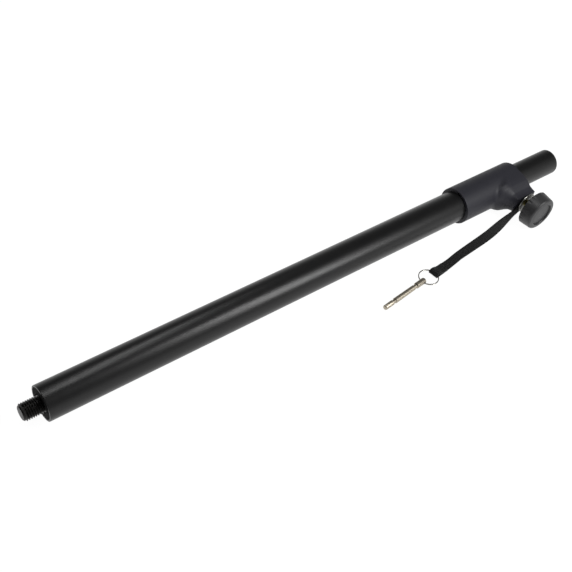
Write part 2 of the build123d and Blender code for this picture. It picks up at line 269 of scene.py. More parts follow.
def raise_by(tree, shader, height, distance, strength=1.0):
    """Bump from a height of 0 to 1, at a real depth in millimetres."""
    bump = add(tree, "ShaderNodeBump", {"Height": height, "Distance": distance * MM, "Strength": strength})
    tree.links.new(bump.outputs["Normal"], shader.inputs["Normal"])


def grain(tree, place, size, detail=2.0):
    """Noise whose grains are about this many millimetres across."""
    made = add(tree, "ShaderNodeTexNoise", {"Vector": place, "Scale": 1 / (size * MM), "Detail": detail})
    return made.outputs["Fac"]


def powder_coat():
    """Baked polyester powder on steel: near-black, satin, with the faint orange peel of melted powder."""
    material, tree, shader, place = blank_material("satin_black_powder_coat")
    two_tones(tree, shader, grain(tree, place, 60), "#0c0c0c", "#111112")
    roughness_between(tree, shader, grain(tree, place, 14), 0.31, 0.39)
    raise_by(tree, shader, grain(tree, place, 1.6), 0.012)
    shader.inputs["IOR"].default_value = 1.5
    shader.inputs["Specular IOR Level"].default_value = 0.4
    return material


def primed_steel():
    """Primer on the turned foot plug: dull near-black, much rougher than the coat, so its face stays
    dark when it is seen almost edge-on."""
    material, tree, shader, place = blank_material("dull_black_primed_steel")
    two_tones(tree, shader, grain(tree, place, 6), "#0b0b0b", "#101010")
    roughness_between(tree, shader, grain(tree, place, 2), 0.8, 0.9)
    shader.inputs["Specular IOR Level"].default_value = 0.15
    return material


def mast_coat():
    """The same powder coat on the mast, dulled along its length where it slides in its guides."""
    material, tree, shader, place = blank_material("rubbed_black_powder_coat")
    along = add(tree, "ShaderNodeMapping", {"Vector": place, "Scale": (4, 900, 900)}).outputs["Vector"]
    rubbed = add(tree, "ShaderNodeTexNoise", {"Vector": along, "Scale": 1.0, "Detail": 3.0}).outputs["Fac"]
    two_tones(tree, shader, rubbed, "#0b0b0b", "#121212")
    roughness_between(tree, shader, rubbed, 0.3, 0.44)
    raise_by(tree, shader, grain(tree, place, 1.6), 0.01)
    shader.inputs["Specular IOR Level"].default_value = 0.4
    return material


def black_oxide():
    """Machined steel, blackened and oiled: dark brown-black metal with soft broken highlights."""
    material, tree, shader, place = blank_material("oiled_black_oxide_steel")
    two_tones(tree, shader, grain(tree, place, 5), "#141312", "#1c1b19")
    roughness_between(tree, shader, grain(tree, place, 2), 0.34, 0.5)
    shader.inputs["Metallic"].default_value = 0.6
    return material


def black_polyethylene():
    """Moulded polyethylene: black, waxy and almost matt."""
    material, tree, shader, place = blank_material("matt_black_polyethylene")
    two_tones(tree, shader, grain(tree, place, 9), "#131313", "#191919")
    roughness_between(tree, shader, grain(tree, place, 6), 0.4, 0.5)
    raise_by(tree, shader, grain(tree, place, 1.2), 0.015)
    return material


def natural_nylon():
    """Cast glide nylon without pigment: milky off-white, satin."""
    material, tree, shader, place = blank_material("natural_glide_nylon")
    two_tones(tree, shader, grain(tree, place, 8), "#d8d5c8", "#e2dfd3")
    roughness_between(tree, shader, grain(tree, place, 3), 0.35, 0.5)
    return material


def collar_nylon():
    """Glass-filled nylon from a spark-eroded mould: blue charcoal, matt, with a fine even grain."""
    material, tree, shader, place = blank_material("blue_charcoal_glass_nylon")
    two_tones(tree, shader, grain(tree, place, 26), "#25252c", "#2b2b32")
    roughness_between(tree, shader, grain(tree, place, 5), 0.46, 0.58)
    # The real grain is about 0.1 mm and is drawn coarser so that it shows
    raise_by(tree, shader, grain(tree, place, 0.7), 0.02)
    shader.inputs["Specular IOR Level"].default_value = 0.35
    return material


def knob_nylon():
    """Moulded nylon: neutral charcoal, matt, a little shinier where fingers hold it."""
    material, tree, shader, place = blank_material("charcoal_moulded_nylon")
    two_tones(tree, shader, grain(tree, place, 15), "#2c2c2d", "#343435")
    roughness_between(tree, shader, grain(tree, place, 4), 0.38, 0.52)
    raise_by(tree, shader, grain(tree, place, 0.7), 0.02)
    return material


def bright_zinc():
    """Bright zinc plate on pressed steel: pale, slightly blue metal with a soft bloom."""
    material, tree, shader, place = blank_material("bright_zinc_plate")
    two_tones(tree, shader, grain(tree, place, 3), "#a6a6a2", "#bbbab3")
    roughness_between(tree, shader, grain(tree, place, 2), 0.28, 0.4)
    shader.inputs["Metallic"].default_value = 1.0
    return material


def yellow_zinc():
    """Yellow-passivated zinc on the clamp bolt: dull olive-gold metal."""
    material, tree, shader, place = blank_material("dull_yellow_zinc_plate")
    two_tones(tree, shader, grain(tree, place, 3), "#8b8452", "#a39a63")
    roughness_between(tree, shader, grain(tree, place, 1.5), 0.3, 0.46)
    shader.inputs["Metallic"].default_value = 1.0
    return material


def black_zinc():
    """Black zinc on the small screws: dark grey metal, half matt."""
    material, tree, shader, place = blank_material("black_zinc_plate")
    two_tones(tree, shader, grain(tree, place, 2), "#1f1f20", "#2b2b2b")
    roughness_between(tree, shader, grain(tree, place, 1), 0.35, 0.5)
    shader.inputs["Metallic"].default_value = 0.7
    return material


def bright_nickel():
    """Nickel plate on spring wire: mirror bright, faintly warm."""
    material, tree, shader, place = blank_material("bright_nickel_plate")
    two_tones(tree, shader, grain(tree, place, 4), "#a3a19a", "#b3b1aa")
    roughness_between(tree, shader, grain(tree, place, 3), 0.2, 0.3)
    shader.inputs["Metallic"].default_value = 1.0
    return material


def turned_zinc():
    """Turned steel, zinc plated: grey-beige metal with fine rings left by the tool."""
    material, tree, shader, place = blank_material("turned_zinc_plated_steel")
    turn = math.atan2(LOOP_HEADING.y, LOOP_HEADING.x)
    squared = add(tree, "ShaderNodeMapping", {"Vector": place, "Rotation": (0, 0, -turn)}).outputs["Vector"]
    # The tool's feed is about 0.1 mm and is drawn at 0.6 mm so that it shows
    rings = add(tree, "ShaderNodeMapping", {"Vector": squared, "Scale": (1 / (0.6 * MM), 0, 0)}).outputs["Vector"]
    lines = add(tree, "ShaderNodeTexNoise", {"Vector": rings, "Scale": 1.0, "Detail": 2.0}).outputs["Fac"]
    two_tones(tree, shader, lines, "#a29a8a", "#bab2a3")
    roughness_between(tree, shader, lines, 0.34, 0.46)
    raise_by(tree, shader, lines, 0.012)
    shader.inputs["Metallic"].default_value = 1.0
    return material


def black_webbing():
    """Woven polypropylene webbing: black lengthwise threads, each over two cross threads, dull with a
    trace of fibre sheen."""
    material, tree, shader, place = blank_material("woven_black_polypropylene_webbing")
    uv = add(tree, "ShaderNodeUVMap", uv_map="weave").outputs["UV"]
    weave = add(tree, "ShaderNodeTexBrick", {
        "Vector": uv, "Scale": 1.0, "Brick Width": 2.0, "Row Height": 0.9, "Mortar Size": 0.12, "Mortar Smooth": 1.0,
    })
    shaded_gaps = weave.outputs["Fac"]
    # The gaps between the threads are painted darker than the threads: painted shade in the weave's hollows
    two_tones(tree, shader, shaded_gaps, "#141414", "#070707")
    roughness_between(tree, shader, grain(tree, place, 2), 0.66, 0.8)
    shader.inputs["Specular IOR Level"].default_value = 0.3
    shader.inputs["Sheen Weight"].default_value = 0.06
    shader.inputs["Sheen Roughness"].default_value = 0.4
    threads = add(tree, "ShaderNodeMath", {0: 1.0, 1: shaded_gaps}, operation="SUBTRACT").outputs[0]
    raise_by(tree, shader, threads, 0.18)
    return material


def black_thread():
    """Bonded polyester sewing thread: black, a little shinier than the webbing."""
    material, tree, shader, place = blank_material("black_polyester_thread")
    two_tones(tree, shader, grain(tree, place, 0.8), "#131313", "#1f1f1f")
    roughness_between(tree, shader, grain(tree, place, 0.8), 0.5, 0.65)
    return material


POWDER = powder_coat()
PRIMER = primed_steel()
MAST = mast_coat()
OXIDE = black_oxide()
POLYETHYLENE = black_polyethylene()
NATURAL_NYLON = natural_nylon()
COLLAR_NYLON = collar_nylon()
KNOB_NYLON = knob_nylon()
BRIGHT_ZINC = bright_zinc()
YELLOW_ZINC = yellow_zinc()
BLACK_ZINC = black_zinc()
NICKEL = bright_nickel()
TURNED_ZINC = turned_zinc()
WEBBING = black_webbing()
THREAD = black_thread()


# Making pieces

def piece(name, form, finish, body, replaced=()):
    """Turns a form into a piece of the object: smooth, with its real edges sharp, on its body."""
    for edge in form.edges:
        edge.smooth = len(edge.link_faces) == 2 and edge.calc_face_angle() < SHARP
    for face in form.faces:
        face.smooth = True
    mesh = bpy.data.meshes.new(name)
    form.to_mesh(mesh)
    form.free()
    if "custom_normal" in mesh.attributes:
        mesh.attributes.remove(mesh.attributes["custom_normal"])
    mesh.materials.clear()
    mesh.materials.append(finish)
    made = bpy.data.objects.new(name, mesh)
    bpy.context.scene.collection.objects.link(made)
    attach(made, body)
    if replaced:
        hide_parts(*replaced)
    return made


def welded_copy(name, finish, body, source):
    """A smooth copy of a CAD node, with its loose triangles welded together."""
    form = bmesh.new()
    form.from_mesh(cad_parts[source].data)
    bmesh.ops.remove_doubles(form, verts=form.verts, dist=WELD)
    return piece(name, form, finish, body, [source])


def rounded(along, radius, size, start, end, steps=6):
    """Points of a rounded corner, as (along, radius) round a centre, from one angle to another."""
    angles = [math.radians(start + (end - start) * i / steps) for i in range(steps + 1)]
    return [(along + size * math.sin(a), radius + size * math.cos(a)) for a in angles]


def spun(outline, placing, steps=96, closed=True):
    """A form turned on a lathe: an outline of (along, radius) points spun round Z, then placed."""
    form = bmesh.new()
    points = [form.verts.new((radius, 0, along)) for along, radius in outline]
    pairs = list(zip(points, points[1:]))
    if closed:
        pairs.append((points[-1], points[0]))
    for first, second in pairs:
        form.edges.new((first, second))
    bmesh.ops.spin(
        form, geom=form.verts[:] + form.edges[:], cent=(0, 0, 0), axis=(0, 0, 1),
        angle=math.tau, steps=steps, use_merge=True,
    )
    bmesh.ops.remove_doubles(form, verts=form.verts, dist=WELD / MM)
    bmesh.ops.recalc_face_normals(form, faces=form.faces)
    place(form, placing)
    return form


def place(form, placing):
    """Moves a form in millimetres to its place on the object, in metres."""
    bmesh.ops.transform(form, matrix=Matrix.Scale(MM, 4) @ placing, verts=form.verts)


def join(form, *others):
    """Adds other forms' shells to a form."""
    for other in others:
        spare = bpy.data.meshes.new("spare")
        other.to_mesh(spare)
        other.free()
        form.from_mesh(spare)
        bpy.data.meshes.remove(spare)


def prism(outline, start, end):
    """A bar standing along Z, with an outline of (x, y) points."""
    form = bmesh.new()
    form.faces.new([form.verts.new((x, y, start)) for x, y in outline])
    made = bmesh.ops.extrude_face_region(form, geom=form.faces[:])["geom"]
    top = [item for item in made if isinstance(item, bmesh.types.BMVert)]
    bmesh.ops.translate(form, vec=(0, 0, end - start), verts=top)
    bmesh.ops.recalc_face_normals(form, faces=form.faces)
    return form


def hexagon(flats):
    """A hexagon's corners, by the distance across its flats, with two flats along X."""
    reach = flats / 2 / math.cos(math.radians(30))
    return [(reach * math.cos(math.radians(60 * i)), reach * math.sin(math.radians(60 * i))) for i in range(6)]


def box_outline(x_low, x_high, half_width):
    return [(x_low, -half_width), (x_high, -half_width), (x_high, half_width), (x_low, half_width)]


def rod(start, end, radius, placing, steps=64):
    return spun([(start, 0), (start, radius), (end, radius), (end, 0)], placing, steps, closed=False)


def placed(form, placing):
    place(form, placing)
    return form


def baked(form, *settings):
    """The form that a row of modifiers makes of a form: each is (kind, {its settings})."""
    mesh = bpy.data.meshes.new("baking")
    form.to_mesh(mesh)
    form.free()
    holder = bpy.data.objects.new("baking", mesh)
    bpy.context.scene.collection.objects.link(holder)
    for kind, values in settings:
        step = holder.modifiers.new(kind, kind)
        for name, value in values.items():
            setattr(step, name, value)
    seen = holder.evaluated_get(bpy.context.evaluated_depsgraph_get())
    result = bmesh.new()
    result.from_mesh(seen.to_mesh())
    seen.to_mesh_clear()
    bpy.data.objects.remove(holder)
    bpy.data.meshes.remove(mesh)
    return result


def cut(form, *cutters):
    """Cuts closed forms out of a form."""
    tools = []
    for cutter in cutters:
        mesh = bpy.data.meshes.new("cutter")
        cutter.to_mesh(mesh)
        cutter.free()
        tool = bpy.data.objects.new("cutter", mesh)
        bpy.context.scene.collection.objects.link(tool)
        tools.append(tool)
    result = baked(form, *[("BOOLEAN", {"operation": "DIFFERENCE", "solver": "MANIFOLD", "object": tool}) for tool in tools])
    for tool in tools:
        mesh = tool.data
        bpy.data.objects.remove(tool)
        bpy.data.meshes.remove(mesh)
    bmesh.ops.remove_doubles(result, verts=result.verts, dist=WELD)
    return result


def outer_tube():
    bore = TUBE_R - TUBE_WALL
    outline = [
        *rounded(TUBE_RIM, TUBE_R - TUBE_RIM, TUBE_RIM, -90, 0),
        *rounded(TUBE_LENGTH - TUBE_RIM, TUBE_R - TUBE_RIM, TUBE_RIM, 0, 90),
        (TUBE_LENGTH, bore),
        (0, bore),
    ]
    return piece("tube", spun(outline, POLE_AXIS), POWDER, "pole_body", ["outer_tube"])


def mast_tube():
    bore = MAST_R - MAST_WALL
    form = spun([(MAST_START, bore), (MAST_START, MAST_R), (CAP_SHOULDER, MAST_R), (CAP_SHOULDER, bore)], POLE_AXIS)
    holes = [rod(-MAST_R - 2, MAST_R + 2, PIN_HOLE_R, Matrix.Translation((x, 0, 0)), 40) for x in PIN_HOLE_XS]
    return piece("mast_tube", cut(form, *holes), MAST, "mast", ["inner_tube"])


def top_cap():
    outline = [
        (CAP_STEM, CAP_HOLLOW_R),
        (CAP_STEM, CAP_STEM_R - 0.6),
        (CAP_STEM + 0.6, CAP_STEM_R),
        (CAP_SHOULDER, CAP_STEM_R),
        (CAP_SHOULDER, MAST_R),
        *rounded(CAP_TIP - CAP_EDGE, MAST_R - CAP_EDGE, CAP_EDGE, 0, 90, 10),
        (CAP_TIP, 0),
        (CAP_SHOULDER - 1, 0),
        (CAP_SHOULDER - 1, CAP_HOLLOW_R),
    ]
    return piece("mast_cap", spun(outline, POLE_AXIS), POLYETHYLENE, "mast", ["top_cap"])


def thread_form(start, end, radius, pitch, steps=48):
    """A helical thread between two distances along Z: a toothed line spun with a pitch of rise."""
    depth = 0.61 * pitch
    form = bmesh.new()
    count = math.ceil((end - start) / pitch) + 2
    first = start - pitch
    line = []
    for tooth in range(count):
        base = first + tooth * pitch
        line += [(base, radius - depth), (base + 0.12 * pitch, radius - depth),
                 (base + 0.5 * pitch, radius), (base + 0.62 * pitch, radius)]
    line.append((first + count * pitch, radius - depth))
    points = [form.verts.new((r, 0, along)) for along, r in line]
    for one, two in zip(points, points[1:]):
        form.edges.new((one, two))
    bmesh.ops.spin(
        form, geom=form.verts[:] + form.edges[:], cent=(0, 0, 0), axis=(0, 0, 1),
        dvec=(0, 0, pitch / steps), angle=math.tau, steps=steps, use_merge=False,
    )
    bmesh.ops.remove_doubles(form, verts=form.verts, dist=WELD / MM)
    for height, direction in ((start, -1), (end, 1)):
        bmesh.ops.bisect_plane(
            form, geom=form.verts[:] + form.edges[:] + form.faces[:], dist=1e-5,
            plane_co=(0, 0, height), plane_no=(0, 0, direction), clear_outer=True,
        )
        rim = [e for e in form.edges if e.is_boundary and all(abs(v.co.z - height) < 1e-4 for v in e.verts)]
        bmesh.ops.contextual_create(form, geom=rim)
    bmesh.ops.recalc_face_normals(form, faces=form.faces)
    return form


def taper_tip(form, tip, size, radius):
    """Draws a threaded rod in to a chamfer at its lower end."""
    for vert in form.verts:
        limit = radius - size + max(0.0, vert.co.z - tip)
        reach = math.hypot(vert.co.x, vert.co.y)
        if reach > limit:
            vert.co.x *= limit / reach
            vert.co.y *= limit / reach


def threaded_stud():
    form = thread_form(STUD_TIP, STUD_SHOULDER, STUD_R, STUD_PITCH, 64)
    taper_tip(form, STUD_TIP, STUD_CHAMFER + 0.8, STUD_R)
    place(form, POLE_AXIS)
    join(form, rod(STUD_SHOULDER, STUD_END, STUD_SPIGOT_R, POLE_AXIS))
    return piece("stud", form, OXIDE, "pole_body", ["threaded_stud"])


def clamp_bolt():
    form = placed(thread_form(BOLT_START, HEAD_START, BOLT_R, BOLT_PITCH, 40), CLAMP_AXIS)
    head = placed(prism(hexagon(HEAD_FLATS), HEAD_START, HEAD_START + HEAD_HEIGHT), CLAMP_AXIS)
    join(form, rod(DOG_START, BOLT_START, DOG_R, CLAMP_AXIS, 40), head)
    return piece("bolt", form, YELLOW_ZINC, "clamp_knob", ["clamp_bolt"])


def boss_ring(form, distance, nose, ridge, half_height):
    """One outline of the boss as a ring of edges, seen along the bolt: flat top, flat end, round nose."""
    nose, ridge, end = nose - BOLT_X, ridge - BOLT_X, COLLAR_END + 4 - BOLT_X
    depth = ridge - nose
    radius = (depth ** 2 + half_height ** 2) / (2 * depth)
    spread = math.atan2(half_height, radius - depth)
    points = []
    for i in range(33):
        angle = spread * (1 - i / 16)
        points.append((nose + radius - radius * math.cos(angle), radius * math.sin(angle)))
    for i in range(1, 9):
        points.append((ridge + (end - ridge) * i / 8, -half_height))
    for i in range(8, 0, -1):
        points.append((ridge + (end - ridge) * i / 8, half_height))
    verts = [form.verts.new((x, y, distance)) for x, y in points]
    return [form.edges.new((one, two)) for one, two in zip(verts, verts[1:] + verts[:1])]


def boss_blank():
    form = bmesh.new()
    rings = [boss_ring(form, *section) for section in BOSS_SECTIONS]
    for one, two in zip(rings, rings[1:]):
        bmesh.ops.bridge_loops(form, edges=one + two)
    for ring in (rings[0], rings[-1]):
        bmesh.ops.contextual_create(form, geom=ring)
    bmesh.ops.recalc_face_normals(form, faces=form.faces)
    return placed(form, CLAMP_AXIS)


def soften_boss(form):
    """Blends the boss into the collar as the mould does: the skin is smoothed near where they meet,
    most at the boss's foot and less and less away from it."""
    radius = COLLAR_R * MM
    share = {}
    for vert in form.verts:
        away = math.hypot(vert.co.y, vert.co.z) - radius
        share[vert] = 0.0
        if away > 0.3 * MM:
            share[vert] = max(0.05, 1 - away / (0.6 * FILLET_REACH * MM))
    front = [vert for vert in form.verts if share[vert] > 0.8]
    reached = {vert: 0.0 for vert in front}
    while front:
        ahead = []
        for vert in front:
            for edge in vert.link_edges:
                other = edge.other_vert(vert)
                walked = reached[vert] + edge.calc_length()
                if share[other] == 0 and walked < FILLET_REACH * MM and walked < reached.get(other, 1.0):
                    reached[other] = walked
                    ahead.append(other)
        front = ahead
    for vert, walked in reached.items():
        if share[vert] == 0:
            share[vert] = 1 - walked / (FILLET_REACH * MM)
    rounds = 40
    for turn in range(rounds):
        moved = [vert for vert in form.verts if share[vert] > turn / rounds]
        bmesh.ops.smooth_vert(form, verts=moved, factor=0.5, use_axis_x=True, use_axis_y=True, use_axis_z=True)
    for vert in form.verts:
        if share[vert] == 0:
            scale = radius / math.hypot(vert.co.y, vert.co.z)
            if 0.97 < scale < 1.03:
                vert.co.y *= scale
                vert.co.z *= scale


def trim(form, where, outward):
    """Cuts a form flat at a plane and closes it, with the skin's vertices near the plane drawn on to it."""
    where, outward = Vector(where) * MM, Vector(outward)
    for vert in form.verts:
        off = (vert.co - where).dot(outward)
        if abs(off) < 0.45 * VOXEL * MM:
            vert.co -= outward * off
    bmesh.ops.bisect_plane(
        form, geom=form.verts[:] + form.edges[:] + form.faces[:], dist=WELD,
        plane_co=where, plane_no=outward, clear_outer=True,
    )
    rim = [edge for edge in form.edges if edge.is_boundary]
    bmesh.ops.contextual_create(form, geom=rim)
    return form


def collar():
    form = rod(COLLAR_START - 4, COLLAR_END + 4, COLLAR_R, POLE_AXIS, 128)
    join(form, boss_blank())
    form = baked(form, ("REMESH", {"mode": "VOXEL", "voxel_size": VOXEL * MM}))
    soften_boss(form)
    trim(form, (COLLAR_START, 0, 0), (-1, 0, 0))
    trim(form, (COLLAR_END, 0, 0), (1, 0, 0))
    trim(form, (0, -BOSS_FACE, 0), (0, -1, 0))
    mouth = [e for e in form.edges if all(abs(v.co.x - COLLAR_START * MM) < WELD for v in e.verts)]
    bmesh.ops.bevel(form, geom=mouth, offset=0.6 * MM, segments=4, profile=0.5, affect="EDGES", material=-1)
    bmesh.ops.recalc_face_normals(form, faces=form.faces)
    screws = []
    for x in SCREW_XS:
        side = frame_at((x, 0, 0), (1, 0, 0), (0, 1, 0))
        seat = COLLAR_R - SCREW_HEAD_HEIGHT - 0.3
        outline = [(TUBE_R, 0), (TUBE_R, SCREW_R), (seat, SCREW_R), (COLLAR_R - 0.3, SCREW_HEAD_R + 0.1),
                   (COLLAR_R + 1, SCREW_HEAD_R + 0.1), (COLLAR_R + 1, 0)]
        screws.append(spun(outline, side, 40, closed=False))
    slot_end = NUT_START + NUT_SLOT_HEIGHT
    slot = box_outline(0, COLLAR_END + 1 - BOLT_X, NUT_SLOT_FLATS / 2)
    form = cut(
        form,
        rod(COLLAR_START - 1, COLLAR_STEP, TUBE_R + TUBE_GAP, POLE_AXIS, 96),
        rod(COLLAR_STEP - 1, COLLAR_END + 1, MAST_R + MAST_GAP, POLE_AXIS, 96),
        rod(MAST_R - 1, NUT_START + 0.1, PAD_R + MAST_GAP, CLAMP_AXIS),
        rod(NUT_START, BOSS_FACE + 1, BOLT_HOLE_R, CLAMP_AXIS),
        placed(prism(hexagon(NUT_SLOT_FLATS), NUT_START, slot_end), CLAMP_AXIS),
        placed(prism(slot, NUT_START, slot_end), CLAMP_AXIS),
        *screws,
    )
    return piece("clamp_collar", form, COLLAR_NYLON, "pole_body", ["collar"])


def flute_limit(x, y):
    """How far out the knob's skin may reach at a point's bearing, where a flute is pressed into it."""
    step = math.tau / FLUTES
    off = math.atan2(y, x) % step - step / 2
    centre = KNOB_BACK_R + FLUTE_R - FLUTE_DEPTH
    side = centre * math.sin(off)
    if abs(side) >= FLUTE_R:
        return math.inf
    return centre * math.cos(off) - math.sqrt(FLUTE_R ** 2 - side ** 2)


def clamp_knob():
    taper = (KNOB_BACK_R - KNOB_FRONT_R) / (KNOB_FRONT - KNOB_BACK)
    side_top = KNOB_FRONT - KNOB_EDGE
    side_top_r = KNOB_BACK_R - taper * (side_top - KNOB_BACK)
    dish = KNOB_FRONT - KNOB_DISH
    wall = KNOB_BACK_R - KNOB_WALL
    bore = BOLT_R + BOLT_CLEARANCE
    pocket = HEAD_FLATS / 2 / math.cos(math.radians(30)) + BOLT_CLEARANCE
    side = [(KNOB_BACK + KNOB_BACK_EDGE + (side_top - KNOB_BACK - KNOB_BACK_EDGE) * i / 8) for i in range(8)]
    outline = [
        *rounded(KNOB_BACK + KNOB_BACK_EDGE, KNOB_BACK_R - KNOB_BACK_EDGE, KNOB_BACK_EDGE, -90, -15, 4),
        *[(along, KNOB_BACK_R - taper * (along - KNOB_BACK)) for along in side],
        *rounded(side_top, side_top_r - KNOB_EDGE, KNOB_EDGE, 0, 90, 10),
        *rounded(dish + 0.9, DISC_R + KNOB_LIP, 0.9, 135, 180, 3),
        (dish, CAP_SEAT_R),
        (CAP_SEAT, CAP_SEAT_R),
        (CAP_SEAT, pocket),
        (HEAD_START, pocket),
        (HEAD_START, bore),
        (HUB_BACK, bore),
        (HUB_BACK, HUB_R),
        (KNOB_FLOOR, HUB_R),
        (KNOB_FLOOR, wall),
        (KNOB_BACK, wall),
    ]
    form = spun(outline, Matrix.Identity(4), FLUTES * 16)
    for vert in form.verts:
        x, y, z = vert.co / MM
        reach = math.hypot(x, y)
        limit = flute_limit(x, y)
        if reach > limit:
            vert.co.x *= limit / reach
            vert.co.y *= limit / reach
    for index in range(KNOB_RIBS):
        rib = prism(box_outline(HUB_R - 0.5, wall + 0.5, KNOB_RIB_WIDTH / 2), KNOB_BACK + 1.2, KNOB_FLOOR + 0.5)
        place(rib, Matrix.Rotation(math.tau * (index + 0.5) / KNOB_RIBS, 4, "Z"))
        join(form, rib)
    bmesh.ops.transform(form, matrix=Matrix.Scale(MM, 4) @ CLAMP_AXIS @ Matrix.Scale(1 / MM, 4), verts=form.verts)
    return piece("clamp_knob_body", form, KNOB_NYLON, "clamp_knob", ["knob"])


def knob_disc():
    front = CAP_SEAT + DISC_THICKNESS
    outline = [(CAP_SEAT, 0), (CAP_SEAT, DISC_R), *rounded(front - 0.4, DISC_R - 0.4, 0.4, 0, 90, 4), (front, 0)]
    form = spun(outline, CLAMP_AXIS, closed=False)
    return piece("knob_disc", form, KNOB_NYLON, "clamp_knob", ["knob_cap"])


def bolt_washer():
    start, end = WASHER_START, WASHER_START + WASHER_HEIGHT
    outline = [(start, BOLT_HOLE_R + 0.2), *rounded(start + 0.3, WASHER_R - 0.3, 0.3, -90, 0, 3),
               *rounded(end - 0.3, WASHER_R - 0.3, 0.3, 0, 90, 3), (end, BOLT_HOLE_R + 0.2)]
    return piece("bolt_washer", spun(outline, CLAMP_AXIS), BRIGHT_ZINC, "pole_body", ["washer"])


def safety_pin():
    def waist(start):
        return [(start, PIN_R + 0.25), (start + 0.9, PIN_WAIST_R), (start + PIN_WAIST - 0.9, PIN_WAIST_R),
                (start + PIN_WAIST, PIN_R)]
    outline = [
        (0, 0),
        *rounded(1.0, PIN_HEAD_R - 1.0, 1.0, -90, 0, 5),
        (PIN_HEAD_LENGTH - 0.5, PIN_HEAD_R),
        *waist(PIN_HEAD_LENGTH),
        *waist(PIN_SECOND_WAIST),
        *rounded(PIN_LENGTH - 1.5, PIN_R - 1.5, 1.5, 20, 90, 5),
        (PIN_LENGTH, 0),
    ]
    eye = PIN_AXIS @ frame_at((0, 0, PIN_EYE_FROM_HEAD), (1, 0, 0), (0, 1, 0))
    form = cut(spun(outline, PIN_AXIS, 48, closed=False), rod(-PIN_HEAD_R - 1, PIN_HEAD_R + 1, PIN_EYE_R, eye, 32))
    return piece("safety_pin", form, TURNED_ZINC, "locking_pin", ["locking_pin"])


mast_tube()
collar()
clamp_knob()
knob_disc()
bolt_washer()
safety_pin()
outer_tube()
top_cap()
threaded_stud()
clamp_bolt()
welded_copy("foot_plug", PRIMER, "pole_body", "base_plug")
welded_copy("mast_bush", NATURAL_NYLON, "mast", "guide_bush")
welded_copy("mast_stop", NATURAL_NYLON, "stop_sleeve", "stop_sleeve")
welded_copy("screws", BLACK_ZINC, "pole_body", "collar_screws")
welded_copy("captive_nut", BRIGHT_ZINC, "pole_body", "clamp_nut")
welded_copy("pad", POLYETHYLENE, "pressure_pad", "pressure_pad")


# The lanyard

def webbing_line():
    """The webbing's centre line: a smooth curve on the route's points, read as points in metres."""
    curve = bpy.data.curves.new("webbing_line", "CURVE")
    curve.dimensions = "3D"
    curve.resolution_u = 24
    spline = curve.splines.new("NURBS")
    spline.points.add(len(ROUTE) - 1)
    for point, (where, tilt) in zip(spline.points, ROUTE):
        point.co = (*(value * MM for value in where), 1)
    spline.order_u = 3
    spline.use_endpoint_u = True
    holder = bpy.data.objects.new("webbing_line", curve)
    bpy.context.scene.collection.objects.link(holder)
    bpy.context.view_layer.update()
    mesh = bpy.data.meshes.new_from_object(holder)
    points = [vert.co.copy() for vert in mesh.vertices]
    bpy.data.objects.remove(holder)
    bpy.data.curves.remove(curve)
    bpy.data.meshes.remove(mesh)
    return points


def tilt_near(point):
    """The webbing's tilt at a point of its line, in radians, from the two nearest route points."""
    best = None
    for (start, first), (end, second) in zip(ROUTE, ROUTE[1:]):
        start, end = Vector(start) * MM, Vector(end) * MM
        run = end - start
        share = min(1.0, max(0.0, (point - start).dot(run) / run.length_squared))
        gap = (start + run * share - point).length
        if best is None or gap < best[0]:
            best = (gap, first + (second - first) * share)
    return math.radians(best[1])


def across_web(heading, tilt):
    """The direction across the webbing for a heading and a tilt."""
    level = Vector((0, 0, 1)).cross(heading).normalized()
    if level.y < 0:
        level = -level
    rise = heading.cross(level).normalized()
    if rise.z < 0:
        rise = -rise
    return level * math.cos(tilt) + rise * math.sin(tilt)


def webbing_uv(form, spot_of):
    """Lays the weave's pattern along the webbing, one unit to a thread."""
    layer = form.loops.layers.uv.new("weave")
    for face in form.faces:
        for loop in face.loops:
            loop[layer].uv = [value / (THREAD_PITCH * MM) for value in spot_of(loop.vert)]


def stitches(line, placing):
    """Sewing thread along a line of (x, y) points, as short raised stitches on a plane."""
    form = bmesh.new()
    for (x0, y0), (x1, y1) in zip(line, line[1:]):
        run = math.hypot(x1 - x0, y1 - y0)
        count = max(1, round(run / STITCH))
        turn = Matrix.Rotation(math.atan2(y1 - y0, x1 - x0), 4, "Z")
        for i in range(count):
            share = (i + 0.5) / count
            centre = Matrix.Translation((x0 + (x1 - x0) * share, y0 + (y1 - y0) * share, 0))
            size = Matrix.Diagonal((0.42 * run / count, 0.34, 0.26, 1))
            bmesh.ops.create_uvsphere(form, u_segments=10, v_segments=6, radius=1, matrix=placing @ centre @ turn @ size)
    place(form, Matrix.Identity(4))
    return form


def webbing_eye():
    """The sewn end of the webbing, opened to an eye round the clamp bolt."""
    form = bmesh.new()
    form.from_mesh(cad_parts["strap_tab"].data)
    bmesh.ops.remove_doubles(form, verts=form.verts, dist=WELD)
    bmesh.ops.dissolve_limit(form, angle_limit=0.02, verts=form.verts, edges=form.edges)
    rims = [edge for edge in form.edges if len(edge.link_faces) == 2 and edge.calc_face_angle() > math.radians(60)]
    bmesh.ops.bevel(form, geom=rims, offset=0.4 * MM, segments=3, profile=0.5, affect="EDGES", material=-1)
    angle = math.radians(180 + TAB_ANGLE)
    along = Vector((math.cos(angle), 0, math.sin(angle)))
    across = Vector((-math.sin(angle), 0, math.cos(angle)))
    webbing_uv(form, lambda vert: (vert.co.dot(along), vert.co.dot(across)))
    made = piece("webbing_eye", form, WEBBING, "pole_body", ["strap_tab"])
    leg = CLAMP_AXIS @ Matrix.Rotation(angle, 4, "Z") @ Matrix.Translation((0, 0, TAB_START + TAB_THICKNESS))
    line = [(11, -4.4), (20.5, -4.4), (20.5, 4.4), (11, 4.4), (11, -4.4), (20.5, 4.4)]
    piece("eye_stitching", stitches(line, leg), THREAD, "pole_body")
    return made


